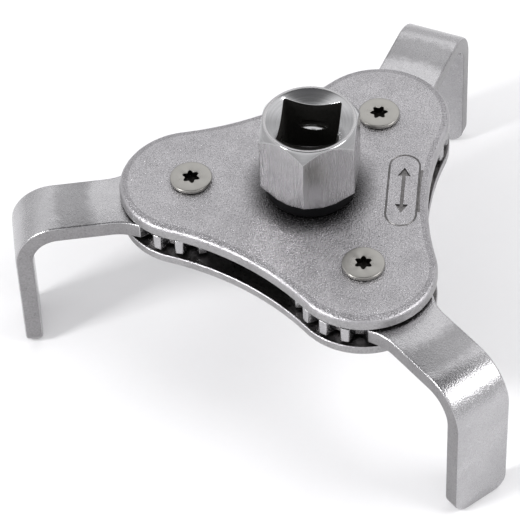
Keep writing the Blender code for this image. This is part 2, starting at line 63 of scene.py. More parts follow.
# What the frame says: levels, pivots, jaw directions, drive faces
MOUNTS = {mount["name"]: mount for mount in frame["record"]["mounts"]}
PIVOTS = {joint["child"]: Vector(joint["pos_m"]) for joint in frame["joints"] if joint["child"] != "drive"}
PIVOT_RADIUS = PIVOTS["jaw_front"].to_2d().length
PLATE_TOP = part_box("top_plate")[1].z
PLATE_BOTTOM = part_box("top_plate")[0].z
LOWER_PLATE_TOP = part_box("bottom_plate")[1].z
LOWER_PLATE_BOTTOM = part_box("bottom_plate")[0].z
FLOOR_LEVEL = cad_bounds[0][2]
RIM_LEVEL = MOUNTS["drive_rim"]["pos_m"][2]
HEX_APOTHEM = Vector(MOUNTS["spanner_flat"]["pos_m"]).to_2d().length
SQUARE_HALF = Vector(MOUNTS["socket_wall"]["pos_m"]).to_2d().length
SQUARE_AXIS = MOUNTS["socket_wall"]["axis"]
FLAT_AXIS = MOUNTS["spanner_flat"]["axis"]
DRIVE_TURN = math.atan2(FLAT_AXIS[1], FLAT_AXIS[0]) - math.pi / 6
SQUARE_TURN = math.atan2(-SQUARE_AXIS[1], -SQUARE_AXIS[0]) - DRIVE_TURN
LOBE_RADIUS = -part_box("top_plate")[0].y - PIVOT_RADIUS
NECK_RADIUS = 0.0080
JOURNAL_RADIUS = 0.0050
SHANK_RADIUS = 0.0024
SPIGOT_RADIUS = 0.0036
SLEEVE_RADIUS = 0.0045
BORE_GAP = 0.00015
FACE_GAP = 0.0002


def sides():
    """Names of the three lobes."""
    return [body.removeprefix("jaw_") for body in PIVOTS]


# ---------------------------------------------------------------- mesh helpers

def mesh_object(name, bm, material, smooth_angle=40.0):
    """Link a finished bmesh as a smooth-shaded object."""
    bmesh.ops.recalc_face_normals(bm, faces=bm.faces)
    mesh = bpy.data.meshes.new(name)
    bm.to_mesh(mesh)
    bm.free()
    mesh.shade_smooth()
    mesh.set_sharp_from_angle(angle=math.radians(smooth_angle))
    item = bpy.data.objects.new(name, mesh)
    bpy.context.scene.collection.objects.link(item)
    if material:
        mesh.materials.append(material)
    return item


def loft(bm, rings, closed_ends=True):
    """Join rings of equal length in turn, and cap both ends."""
    loops = [[bm.verts.new(point) for point in ring] for ring in rings]
    count = len(loops[0])
    for lower, upper in zip(loops, loops[1:]):
        for i in range(count):
            j = (i + 1) % count
            bm.faces.new((lower[i], lower[j], upper[j], upper[i]))
    if closed_ends:
        bm.faces.new(list(reversed(loops[0])))
        bm.faces.new(loops[-1])


def column_solid(name, profile_at, columns, material, centre=(0.0, 0.0), turn=0.0, smooth_angle=40.0):
    """A round-about solid whose (radius, z) profile may change with the angle; ends on its axis."""
    bm = bmesh.new()
    profiles = [profile_at(2 * math.pi * i / columns) for i in range(columns)]
    rows = len(profiles[0])
    first = bm.verts.new((centre[0], centre[1], profiles[0][0][1]))
    last = bm.verts.new((centre[0], centre[1], profiles[0][-1][1]))
    grid = []
    for i, profile in enumerate(profiles):
        angle = 2 * math.pi * i / columns + turn
        grid.append([bm.verts.new((centre[0] + radius * math.cos(angle),
                                   centre[1] + radius * math.sin(angle), level))
                     for radius, level in profile[1:-1]])
    for i in range(columns):
        here = grid[i]
        there = grid[(i + 1) % columns]
        bm.faces.new((first, here[0], there[0]))
        for row in range(rows - 3):
            bm.faces.new((here[row], here[row + 1], there[row + 1], there[row]))
        bm.faces.new((here[-1], last, there[-1]))
    return mesh_object(name, bm, material, smooth_angle)


def ring_solid(name, profile, segments, material, centre=(0.0, 0.0)):
    """A turned ring from a closed (radius, z) profile that stays off the axis."""
    bm = bmesh.new()
    loops = []
    for i in range(segments):
        angle = 2 * math.pi * i / segments
        loops.append([bm.verts.new((centre[0] + radius * math.cos(angle),
                                    centre[1] + radius * math.sin(angle), level))
                      for radius, level in profile])
    for i in range(segments):
        here = loops[i]
        there = loops[(i + 1) % segments]
        for row in range(len(profile)):
            after = (row + 1) % len(profile)
            bm.faces.new((here[row], here[after], there[after], there[row]))
    return mesh_object(name, bm, material)


def filleted(points, cuts, steps=4, closed=False):
    """Round the corners of a polyline; each corner is cut back by its own length."""
    count = len(points)
    result = []
    for i, (point, cut) in enumerate(zip(points, cuts)):
        if cut == 0.0 or (not closed and i in (0, count - 1)):
            result.append(tuple(point))
            continue
        here = Vector(point)
        before = Vector(points[i - 1]) - here
        after = Vector(points[(i + 1) % count]) - here
        length = min(cut, 0.45 * before.length, 0.45 * after.length)
        start = here + before.normalized() * length
        end = here + after.normalized() * length
        for step in range(steps + 1):
            t = step / steps
            result.append(tuple((1 - t) ** 2 * start + 2 * t * (1 - t) * here + t ** 2 * end))
    return result


def turned(corners, steps):
    """Outline of a turned piece from (radius, z, cut) corners, each rounded by its own cut."""
    return filleted([corner[:2] for corner in corners], [corner[2] for corner in corners], steps)


def arc(centre, radius, start, end, segments):
    """Points of an arc, both ends included."""
    angles = [start + (end - start) * i / segments for i in range(segments + 1)]
    return [(centre[0] + radius * math.cos(a), centre[1] + radius * math.sin(a)) for a in angles]


def circle(radius, segments, centre=(0.0, 0.0)):
    """Points of a circle."""
    return arc(centre, radius, 0.0, 2 * math.pi * (segments - 1) / segments, segments - 1)


def polygon_radius(angle, sides_count, apothem, corner_radius):
    """Distance from the axis to a regular polygon with rounded corners, one corner at angle zero."""
    half = math.pi / sides_count
    local = (angle + half) % (2 * half) - half
    reach = (apothem - corner_radius) / math.cos(half)
    limit = math.atan2(corner_radius * math.sin(half), reach + corner_radius * math.cos(half))
    if abs(local) < limit:
        return reach * math.cos(local) + math.sqrt(corner_radius ** 2 - (reach * math.sin(local)) ** 2)
    return apothem / math.cos(half - abs(local))


def subtract(item, cutter):
    """Cut one solid out of another for good."""
    step = item.modifiers.new("cut", "BOOLEAN")
    step.operation = "DIFFERENCE"
    step.solver = "EXACT"
    step.object = cutter
    depsgraph = bpy.context.evaluated_depsgraph_get()
    mesh = bpy.data.meshes.new_from_object(item.evaluated_get(depsgraph))
    item.modifiers.clear()
    item.data = mesh
    bpy.data.objects.remove(cutter)
    item.data.shade_smooth()
    item.data.set_sharp_from_angle(angle=math.radians(35.0))


def add_finish(item, material):
    """Give a piece one more finish and return its slot number."""
    item.data.materials.append(material)
    return len(item.data.materials) - 1


# ---------------------------------------------------------------- materials

def link(tree, source, output, target, socket):
    """Wire one node's output to another node's input."""
    tree.links.new(source.outputs[output], target.inputs[socket])


def math_node(tree, operation, first, second):
    """A Math node; each operand is a number or a (node, output) pair."""
    node = tree.nodes.new("ShaderNodeMath")
    node.operation = operation
    for socket, value in enumerate((first, second)):
        if isinstance(value, tuple):
            link(tree, value[0], value[1], node, socket)
        else:
            node.inputs[socket].default_value = value
    return node


def noise_node(tree, vector, scale, detail=4.0, roughness=0.55):
    """A 3D noise texture on a vector."""
    node = tree.nodes.new("ShaderNodeTexNoise")
    node.inputs["Scale"].default_value = scale
    node.inputs["Detail"].default_value = detail
    node.inputs["Roughness"].default_value = roughness
    link(tree, vector[0], vector[1], node, "Vector")
    return node


def new_group(name, inputs, outputs):
    """An empty shader group with named sockets; returns the tree and its two end nodes."""
    tree = bpy.data.node_groups.new(name, "ShaderNodeTree")
    for label, kind, value in inputs:
        socket = tree.interface.new_socket(label, in_out="INPUT", socket_type=kind)
        socket.default_value = value
    for label, kind in outputs:
        tree.interface.new_socket(label, in_out="OUTPUT", socket_type=kind)
    return tree, tree.nodes.new("NodeGroupInput"), tree.nodes.new("NodeGroupOutput")


def plated_grain_group():
    """Pebbled grain of a blasted and plated surface: colour, roughness and normal."""
    tree, start, end = new_group(
        "plated_grain",
        [("Colour", "NodeSocketColor", (0.5, 0.5, 0.5, 1.0)), ("Roughness", "NodeSocketFloat", 0.4),
         ("Grain Scale", "NodeSocketFloat", 2600.0), ("Grain Depth", "NodeSocketFloat", 0.00003),
         ("Mottle", "NodeSocketFloat", 0.1)],
        [("Colour", "NodeSocketColor"), ("Roughness", "NodeSocketFloat"), ("Normal", "NodeSocketVector")])
    place = tree.nodes.new("ShaderNodeTexCoord")
    grain = noise_node(tree, (place, "Object"), 2600.0, 3.0, 0.6)
    link(tree, start, "Grain Scale", grain, "Scale")
    cloud = noise_node(tree, (place, "Object"), 160.0, 5.0, 0.6)
    blend = math_node(tree, "SUBTRACT", (grain, "Fac"), 0.5)
    soft = math_node(tree, "SUBTRACT", (cloud, "Fac"), 0.5)
    both = math_node(tree, "MULTIPLY_ADD", (soft, "Value"), 0.6)
    link(tree, blend, "Value", both, 2)
    tone = math_node(tree, "MULTIPLY", (both, "Value"), (start, "Mottle"))
    factor = math_node(tree, "ADD", (tone, "Value"), 1.0)
    scaled = tree.nodes.new("ShaderNodeVectorMath")
    scaled.operation = "SCALE"
    link(tree, start, "Colour", scaled, 0)
    link(tree, factor, "Value", scaled, "Scale")
    link(tree, scaled, "Vector", end, "Colour")
    dull = math_node(tree, "MULTIPLY", (both, "Value"), 0.25)
    rough = math_node(tree, "ADD", (dull, "Value"), (start, "Roughness"))
    link(tree, rough, "Value", end, "Roughness")
    bump = tree.nodes.new("ShaderNodeBump")
    bump.inputs["Strength"].default_value = 1.0
    link(tree, start, "Grain Depth", bump, "Distance")
    link(tree, grain, "Fac", bump, "Height")
    link(tree, bump, "Normal", end, "Normal")
    return tree


def drawn_lines_group():
    """Fine lines left by brushing or turning, drawn out along one direction."""
    tree, start, end = new_group(
        "drawn_lines",
        [("Vector", "NodeSocketVector", (0.0, 0.0, 0.0)), ("Colour", "NodeSocketColor", (0.6, 0.6, 0.6, 1.0)),
         ("Roughness", "NodeSocketFloat", 0.25), ("Line Depth", "NodeSocketFloat", 0.00001),
         ("Contrast", "NodeSocketFloat", 0.15)],
        [("Colour", "NodeSocketColor"), ("Roughness", "NodeSocketFloat"), ("Normal", "NodeSocketVector")])
    fine = noise_node(tree, (start, "Vector"), 1.0, 3.0, 0.7)
    broad = noise_node(tree, (start, "Vector"), 0.16, 2.0, 0.5)
    total = math_node(tree, "ADD", (fine, "Fac"), (broad, "Fac"))
    centred = math_node(tree, "SUBTRACT", (total, "Value"), 1.0)
    tone = math_node(tree, "MULTIPLY", (centred, "Value"), (start, "Contrast"))
    factor = math_node(tree, "ADD", (tone, "Value"), 1.0)
    scaled = tree.nodes.new("ShaderNodeVectorMath")
    scaled.operation = "SCALE"
    link(tree, start, "Colour", scaled, 0)
    link(tree, factor, "Value", scaled, "Scale")
    link(tree, scaled, "Vector", end, "Colour")
    dull = math_node(tree, "MULTIPLY", (centred, "Value"), 0.2)
    rough = math_node(tree, "ADD", (dull, "Value"), (start, "Roughness"))
    link(tree, rough, "Value", end, "Roughness")
    bump = tree.nodes.new("ShaderNodeBump")
    bump.inputs["Strength"].default_value = 1.0
    link(tree, start, "Line Depth", bump, "Distance")
    link(tree, fine, "Fac", bump, "Height")
    link(tree, bump, "Normal", end, "Normal")
    return tree


PLATED_GRAIN = plated_grain_group()
DRAWN_LINES = drawn_lines_group()


def principled(name, metallic):
    """A new material and its Principled shader."""
    material = bpy.data.materials.new(name)
    material.use_nodes = True
    shader = material.node_tree.nodes["Principled BSDF"]
    shader.inputs["Metallic"].default_value = metallic
    return material, shader


def place_group(tree, group, shader, values):
    """Put a group into a material with its own values, feeding colour, roughness and normal."""
    node = tree.nodes.new("ShaderNodeGroup")
    node.node_tree = group
    for label, value in values.items():
        node.inputs[label].default_value = value
    link(tree, node, "Colour", shader, "Base Color")
    link(tree, node, "Roughness", shader, "Roughness")
    link(tree, node, "Normal", shader, "Normal")
    return node


def plated_steel(name, colour, roughness, grain_scale, grain_depth, mottle):
    """Blasted and plated steel."""
    material, shader = principled(name, 1.0)
    place_group(material.node_tree, PLATED_GRAIN, shader,
                {"Colour": (*colour, 1.0), "Roughness": roughness, "Grain Scale": grain_scale,
                 "Grain Depth": grain_depth, "Mottle": mottle})
    return material


def brushed_steel(name, colour, roughness, line_scale, line_depth, contrast):
    """Steel with straight fine lines: line_scale is how fast the noise runs along X, Y and Z."""
    material, shader = principled(name, 1.0)
    tree = material.node_tree
    place = tree.nodes.new("ShaderNodeTexCoord")
    stretch = tree.nodes.new("ShaderNodeMapping")
    stretch.inputs["Scale"].default_value = line_scale
    link(tree, place, "Object", stretch, "Vector")
    node = place_group(tree, DRAWN_LINES, shader,
                       {"Colour": (*colour, 1.0), "Roughness": roughness, "Line Depth": line_depth,
                        "Contrast": contrast})
    link(tree, stretch, "Vector", node, "Vector")
    return material


def turned_steel(name, colour, roughness, centre, ring_scale, line_depth, contrast):
    """Steel turned on a lathe about a vertical axis: fine rings."""
    material, shader = principled(name, 1.0)
    tree = material.node_tree
    place = tree.nodes.new("ShaderNodeTexCoord")
    shift = tree.nodes.new("ShaderNodeVectorMath")
    shift.operation = "SUBTRACT"
    shift.inputs[1].default_value = (centre[0], centre[1], 0.0)
    link(tree, place, "Object", shift, 0)
    split = tree.nodes.new("ShaderNodeSeparateXYZ")
    link(tree, shift, "Vector", split, "Vector")
    across = math_node(tree, "MULTIPLY", (split, "X"), (split, "X"))
    along = math_node(tree, "MULTIPLY", (split, "Y"), (split, "Y"))
    square = math_node(tree, "ADD", (across, "Value"), (along, "Value"))
    radius = math_node(tree, "SQRT", (square, "Value"), 0.0)
    rings = math_node(tree, "MULTIPLY", (radius, "Value"), ring_scale)
    height = math_node(tree, "MULTIPLY", (split, "Z"), ring_scale)
    turn = math_node(tree, "ARCTAN2", (split, "Y"), (split, "X"))
    joined = tree.nodes.new("ShaderNodeCombineXYZ")
    link(tree, rings, "Value", joined, "X")
    link(tree, turn, "Value", joined, "Y")
    link(tree, height, "Value", joined, "Z")
    node = place_group(tree, DRAWN_LINES, shader,
                       {"Colour": (*colour, 1.0), "Roughness": roughness, "Line Depth": line_depth,
                        "Contrast": contrast})
    link(tree, joined, "Vector", node, "Vector")
    return material


def black_nylon():
    """Matt black moulded nylon with a fine pebble."""
    material, shader = principled("black_nylon", 0.0)
    shader.inputs["Specular IOR Level"].default_value = 0.05
    place_group(material.node_tree, PLATED_GRAIN, shader,
                {"Colour": (0.004, 0.004, 0.0045, 1.0), "Roughness": 0.4, "Grain Scale": 3000.0,
                 "Grain Depth": 0.00003, "Mottle": 0.4})
    return material


PLATE_STEEL = plated_steel("plate_steel", (0.455, 0.445, 0.46), 0.27, 2600.0, 0.00022, 0.9)
# Darker copy of the plate steel for the shoulder inside the rolled edge: painted dark reflection.
PLATE_SHOULDER_PAINTED_REFLECTION = plated_steel("plate_shoulder_painted_reflection", (0.34, 0.332, 0.345), 0.27, 2600.0, 0.00022, 0.9)
PLATE_ROLL = plated_steel("plate_roll", (0.37, 0.362, 0.375), 0.32, 2600.0, 0.00012, 0.8)
SHEARED_EDGE = plated_steel("sheared_edge", (0.36, 0.355, 0.36), 0.34, 2400.0, 0.00020, 0.9)
# Darker finish for the plates' inner faces; on the pressed arrow and frame it is painted shade.
DARK_INNER_FACE_AND_POCKET_SHADE = plated_steel("dark_inner_face_and_pocket_shade", (0.15, 0.145, 0.145), 0.32, 1500.0, 0.00014, 1.0)
ARM_EDGE = plated_steel("arm_edge", (0.27, 0.265, 0.27), 0.32, 2200.0, 0.00012, 0.8)
DRIVE_STEEL = brushed_steel("drive_steel", (0.38, 0.375, 0.38), 0.26, (3400.0, 3400.0, 90.0), 0.000003, 0.14)
DRIVE_TURNED = turned_steel("drive_turned", (0.43, 0.43, 0.435), 0.12, (0.0, 0.0), 5000.0, 0.000006, 0.45)
# Painted shade in the square socket: its walls and floor.
SOCKET_PAINTED_SHADE = plated_steel("socket_wall", (0.11, 0.107, 0.10), 0.45, 2400.0, 0.00005, 0.5)
# Painted shade in the screws' star recesses.
RECESS_PAINTED_SHADE = plated_steel("recess", (0.035, 0.033, 0.03), 0.4, 2400.0, 0.00005, 0.5)
GEAR_STEEL = plated_steel("gear_steel", (0.30, 0.30, 0.295), 0.32, 2200.0, 0.00004, 0.4)
SLEEVE_STEEL = turned_steel("sleeve_steel", (0.50, 0.50, 0.49), 0.32, (0.0, 0.0), 4000.0, 0.000006, 0.15)
WASHER_STEEL = plated_steel("washer_steel", (0.28, 0.28, 0.275), 0.34, 1800.0, 0.00003, 0.35)
RING_STEEL = plated_steel("ring_steel", (0.09, 0.09, 0.095), 0.42, 2600.0, 0.00004, 0.5)
BLACK_NYLON = black_nylon()


def shade_by_distance(material, centre, ragged, shades):
    """Darken a material by its distance from a vertical axis; shades are (distance, factor) pairs."""
    tree = material.node_tree
    shader = tree.nodes["Principled BSDF"]
    source = shader.inputs["Base Color"].links[0].from_node
    place = tree.nodes.new("ShaderNodeTexCoord")
    flat = tree.nodes.new("ShaderNodeVectorMath")
    flat.operation = "MULTIPLY_ADD"
    flat.inputs[1].default_value = (1.0, 1.0, 0.0)
    flat.inputs[2].default_value = (-centre[0], -centre[1], 0.0)
    link(tree, place, "Object", flat, 0)
    distance = tree.nodes.new("ShaderNodeVectorMath")
    distance.operation = "LENGTH"
    link(tree, flat, "Vector", distance, 0)
    patch = noise_node(tree, (place, "Object"), 600.0, 4.0, 0.65)
    edge = math_node(tree, "MULTIPLY_ADD", (patch, "Fac"), ragged)
    link(tree, distance, "Value", edge, 2)
    span = shades[-1][0]
    part = math_node(tree, "DIVIDE", (edge, "Value"), span)
    ramp = tree.nodes.new("ShaderNodeValToRGB")
    ramp.color_ramp.interpolation = "EASE"
    stops = ramp.color_ramp.elements
    stops[0].position = shades[0][0] / span
    stops[0].color = (shades[0][1], shades[0][1], shades[0][1], 1.0)
    stops[1].position = 1.0
    stops[1].color = (shades[-1][1], shades[-1][1], shades[-1][1], 1.0)
    for reach, factor in shades[1:-1]:
        stops.new(reach / span).color = (factor, factor, factor, 1.0)
    link(tree, part, "Value", ramp, "Fac")
    scaled = tree.nodes.new("ShaderNodeVectorMath")
    scaled.operation = "MULTIPLY"
    link(tree, source, "Colour", scaled, 0)
    link(tree, ramp, "Color", scaled, 1)
    link(tree, scaled, "Vector", shader, "Base Color")


# Painted shade and painted dark reflection on the plates around the black collar, darkest beside it.
COLLAR_PAINTED_SHADE = [(0.0106, 0.20), (0.0176, 1.0)]
COLLAR_PAINTED_SHADE_EDGE = 0.0012
# Painted dark reflection: a band across each arm where the strip leaves the plates, before the bend.
ARM_PAINTED_REFLECTION = [(0.0235, 1.0), (0.0270, 0.62), (0.0315, 0.66), (0.0345, 1.0)]
ARM_PAINTED_REFLECTION_EDGE = 0.004
shade_by_distance(PLATE_STEEL, (0.0, 0.0), COLLAR_PAINTED_SHADE_EDGE, COLLAR_PAINTED_SHADE)

# ---------------------------------------------------------------- plates

WAIST_ARC_RADIUS = 0.066
EDGE_ROLL = 0.0011
BURR = 0.00018
ROLL_END = math.radians(77.0)
ROLL_STEPS = 8
PILLOW_DROP = 0.00028
PILLOW = [(0.0005, 0.00017), (0.0010, 0.00007), (0.0016, 0.00002), (0.0024, 0.0)]
BORE_CHAMFER = 0.00025
HAIR = 0.00005
INNER_RING = 0.0003
CUTTER_OVERLAP = 0.001
LEVEL_TOLERANCE = 0.00002

# How far a face's normal leans towards the vertical: rim, then rolled edge, then shoulder, then flat
STEEP = 0.25
SLOPING = 0.94
NEARLY_FLAT = 0.99

PANEL_LENGTH = 0.0218
PANEL_WIDTH = 0.0068
PANEL_GROOVE = 0.00048
PANEL_DISTANCE = 0.0205
PANEL_DIRECTION = math.radians(-30.0)
ARROW_REACH = 0.0070
ARROW_HEAD = 0.0026
ARROW_WIDTH = 0.0030
ARROW_SHAFT = 0.0008
ARROW_DEPTH = 0.00035
GROOVE_SIDES = 8
GROOVE_LIFT = 0.12


def plate_outline(inset, lobe_segments=72, waist_segments=36):
    """Tri-lobed outline, drawn in by an inset."""
    half_sector = math.pi / 3
    reach = LOBE_RADIUS + WAIST_ARC_RADIUS
    offset = PIVOT_RADIUS * math.sin(half_sector)
    distance = PIVOT_RADIUS * math.cos(half_sector) + math.sqrt(reach ** 2 - offset ** 2)
    points = []
    for pivot in PIVOTS.values():
        angle = math.atan2(pivot.y, pivot.x)
        waist_angle = angle + half_sector
        hollow = (distance * math.cos(waist_angle), distance * math.sin(waist_angle))
        spread = math.atan2(hollow[1] - pivot.y, hollow[0] - pivot.x) - angle
        spread = math.atan2(math.sin(spread), math.cos(spread))
        points += arc(pivot, LOBE_RADIUS - inset, angle - spread, angle + spread, lobe_segments)
        start = angle + spread + math.pi
        end = 2 * (waist_angle + math.pi) - start
        points += arc(hollow, WAIST_ARC_RADIUS + inset, start, end, waist_segments)[1:-1]
    return points


def hole_cutter(radius, centre, low, high, chamfer):
    """A round cutter whose two mouths open out at the given levels."""
    mouth = radius + chamfer + CUTTER_OVERLAP
    profile = [(mouth, low - CUTTER_OVERLAP), (radius, low + chamfer),
               (radius, high - chamfer), (mouth, high + CUTTER_OVERLAP)]
    bm = bmesh.new()
    loft(bm, [[(x, y, level) for x, y in circle(r, 72, centre)] for r, level in profile])
    return mesh_object("cutter", bm, None)


def make_plate(node, outer_face, inner_face, bore, pivot_bore):
    """One plate with a rolled outer edge, a small burr side and chamfered holes."""
    direction = math.copysign(1.0, outer_face - inner_face)
    levels = [(BURR + INNER_RING, inner_face), (BURR, inner_face), (0.0, inner_face + direction * BURR)]
    for step in range(ROLL_STEPS + 1):
        turn = ROLL_END * step / ROLL_STEPS
        height = PILLOW_DROP + EDGE_ROLL * (math.sin(ROLL_END) - math.sin(turn))
        levels.append((EDGE_ROLL * (1 - math.cos(turn)), outer_face - direction * height))
    roll_inset = EDGE_ROLL * (1 - math.cos(ROLL_END))
    for inset, drop in PILLOW:
        levels.append((roll_inset + inset, outer_face - direction * drop))
    bm = bmesh.new()
    loft(bm, [[(x, y, level) for x, y in plate_outline(inset)] for inset, level in levels])
    plate = mesh_object(node + "_fine", bm, PLATE_STEEL)
    low = min(outer_face, inner_face)
    high = max(outer_face, inner_face)
    subtract(plate, hole_cutter(bore, (0.0, 0.0), low, high, BORE_CHAMFER))
    for pivot in PIVOTS.values():
        subtract(plate, hole_cutter(pivot_bore, pivot.to_2d(), low, high, BORE_CHAMFER))
    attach(plate, "plates")
    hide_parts(node)
    return plate


def paint_plate(plate, inner_face):
    """Sheared rim, rolled edge, darker inner face, painted dark reflection on the shoulder inside the rolled edge,
    and painted shade in the pressed mark of a plate.
    """
    edge = add_finish(plate, SHEARED_EDGE)
    darkened = add_finish(plate, DARK_INNER_FACE_AND_POCKET_SHADE)
    shoulder_reflection = add_finish(plate, PLATE_SHOULDER_PAINTED_REFLECTION)
    roll = add_finish(plate, PLATE_ROLL)
    out = Vector((math.cos(PANEL_DIRECTION), math.sin(PANEL_DIRECTION)))
    half = (PANEL_LENGTH - PANEL_WIDTH) / 2
    for face in plate.data.polygons:
        pressed = LEVEL_TOLERANCE < PLATE_TOP - face.center.z < ARROW_DEPTH + 0.0001
        offset = face.center.xy - Vector(panel_point(0.0, 0.0))
        across = offset.dot(out)
        along = abs(offset.cross(out))
        on_arrow = abs(across) < ARROW_WIDTH * 0.6 and along < ARROW_REACH
        on_frame = abs(math.hypot(max(0.0, along - half), across) - PANEL_WIDTH / 2) < PANEL_GROOVE
        # Inner face: darker; pressed arrow and frame: painted shade in the recess.
        if abs(face.center.z - inner_face) < LEVEL_TOLERANCE or pressed and (on_arrow or on_frame):
            face.material_index = darkened
        elif abs(face.normal.z) < STEEP:
            face.material_index = edge
        elif abs(face.normal.z) < SLOPING:
            face.material_index = roll
        # Shoulder inside the rolled edge: painted dark reflection.
        elif abs(face.normal.z) < NEARLY_FLAT:
            face.material_index = shoulder_reflection


def groove_cutter(path, width):
    """A tube along a closed flat path, for a pressed groove in the top plate."""
    bm = bmesh.new()
    count = len(path)
    rings = []
    for i in range(count):
        run = Vector(path[(i + 1) % count]) - Vector(path[i - 1])
        side = Vector((-run.y, run.x)).normalized()
        ring = []
        for k in range(GROOVE_SIDES):
            turn = 2 * math.pi * (k + 0.5) / GROOVE_SIDES
            x = path[i][0] + side.x * width / 2 * math.cos(turn)
            y = path[i][1] + side.y * width / 2 * math.cos(turn)
            level = PLATE_TOP + width * GROOVE_LIFT + width / 2 * math.sin(turn)
            ring.append(bm.verts.new((x, y, level)))
        rings.append(ring)
    for i in range(count):
        here = rings[i]
        there = rings[(i + 1) % count]
        for k in range(GROOVE_SIDES):
            after = (k + 1) % GROOVE_SIDES
            bm.faces.new((here[k], here[after], there[after], there[k]))
    return mesh_object("groove", bm, None)


def panel_point(x, y):
    """A point of the panel, given along and across it, on the waist between the front and right lobes."""
    turn = PANEL_DIRECTION + math.pi / 2
    return (PANEL_DISTANCE * math.cos(PANEL_DIRECTION) + x * math.cos(turn) - y * math.sin(turn),
            PANEL_DISTANCE * math.sin(PANEL_DIRECTION) + x * math.sin(turn) + y * math.cos(turn))


def cut_panel(plate):
    """Press a plain round-ended frame with a two-way arrow into the top plate."""
    half = PANEL_LENGTH / 2 - PANEL_WIDTH / 2
    frame_path = arc((half, 0.0), PANEL_WIDTH / 2, -math.pi / 2, math.pi / 2, 12)
    frame_path += arc((-half, 0.0), PANEL_WIDTH / 2, math.pi / 2, 3 * math.pi / 2, 12)
    subtract(plate, groove_cutter([panel_point(x, y) for x, y in frame_path], PANEL_GROOVE))
    end = [(ARROW_REACH - ARROW_HEAD, ARROW_SHAFT / 2), (ARROW_REACH - ARROW_HEAD, ARROW_WIDTH / 2),
           (ARROW_REACH, 0.0), (ARROW_REACH - ARROW_HEAD, -ARROW_WIDTH / 2),
           (ARROW_REACH - ARROW_HEAD, -ARROW_SHAFT / 2)]
    outline = [panel_point(x, y) for x, y in end + [(-x, -y) for x, y in end]]
    bm = bmesh.new()
    levels = (PLATE_TOP - ARROW_DEPTH, PLATE_TOP + CUTTER_OVERLAP)
    loft(bm, [[(x, y, level) for x, y in outline] for level in levels])
    subtract(plate, mesh_object("arrow", bm, None))


top_plate = make_plate("top_plate", PLATE_TOP, PLATE_BOTTOM, NECK_RADIUS + BORE_GAP, SHANK_RADIUS + BORE_GAP)
cut_panel(top_plate)
paint_plate(top_plate, PLATE_BOTTOM)
bottom_plate = make_plate("bottom_plate", LOWER_PLATE_BOTTOM, LOWER_PLATE_TOP,
                          JOURNAL_RADIUS + BORE_GAP, SPIGOT_RADIUS + BORE_GAP)
paint_plate(bottom_plate, LOWER_PLATE_TOP)

# ---------------------------------------------------------------- drive

RIM_RADIUS = 0.0103
CROWN_DROP = 0.0026
FOOT_RADIUS = 0.0106
FOOT_DROP = 0.0011
HEX_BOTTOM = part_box("drive_collar")[1].z + FACE_GAP
HEX_CORNER = 0.0004
MOUTH_RADIUS = 0.0097
MOUTH_DEPTH = 0.0020
DETENT_LEVEL = RIM_LEVEL - 0.0082
DETENT_GROOVE = 0.0017
DETENT_REACH = 0.0073
SEAT_HALF = 0.0055
RING_GROOVE_DEPTH = 0.0008
JOURNAL_CHAMFER = 0.0004
SOCKET_CORNER = 0.0006
FLOOR_ROUNDING = 0.0006
FOOT_ROUNDING = 0.0003
MOUTH_WALL_LEVEL = RIM_LEVEL - 0.0045
DRIVE_COLUMNS = 480
DETENT_ROWS = 28
DETENT_SPREAD = 1.1


def socket_inside(wall):
    """Socket floor, and its wall with the detent groove, out to below the mouth."""
    inside = turned([(0.0, 0.0, 0.0), (wall * 0.6, 0.0, 0.0), (wall, 0.0, FLOOR_ROUNDING),
                     (wall, 2 * FLOOR_ROUNDING, 0.0)], 4)
    groove = []
    for row in range(DETENT_ROWS + 1):
        offset = DETENT_GROOVE * DETENT_SPREAD * (2 * row / DETENT_ROWS - 1)
        bulge = math.sqrt(max(0.0, DETENT_GROOVE ** 2 - offset ** 2)) + DETENT_REACH - DETENT_GROOVE
        groove.append((max(wall, bulge), DETENT_LEVEL + offset))
    return inside + groove


def hexagon_outside(wall, outer):
    """Countersunk mouth, rim, crown, flat and foot of the hexagon, down the neck to the gear seat."""
    mouth_slope = MOUTH_DEPTH / (MOUTH_RADIUS - SQUARE_HALF)
    mouth_end = max(0.0, MOUTH_RADIUS - wall) * mouth_slope + 0.00002
    edge = min(wall, MOUTH_RADIUS - HAIR)
    widest = HEX_APOTHEM / math.cos(math.pi / 6)
    crown = CROWN_DROP * (outer - RIM_RADIUS) / (widest - RIM_RADIUS)
    foot = FOOT_DROP * max(0.0, outer - FOOT_RADIUS) / (widest - FOOT_RADIUS)
    return turned([(wall, MOUTH_WALL_LEVEL, 0.0), (edge, RIM_LEVEL - mouth_end, 0.0001),
                   (MOUTH_RADIUS, RIM_LEVEL, 0.00018), (RIM_RADIUS, RIM_LEVEL, 0.00020),
                   (outer, RIM_LEVEL - crown, 0.00022), (outer, HEX_BOTTOM + foot + FOOT_ROUNDING, 0.0003),
                   (min(outer, FOOT_RADIUS), HEX_BOTTOM, 0.0004), (NECK_RADIUS, HEX_BOTTOM, 0.0),
                   (NECK_RADIUS, PLATE_BOTTOM, 0.0)], 3)


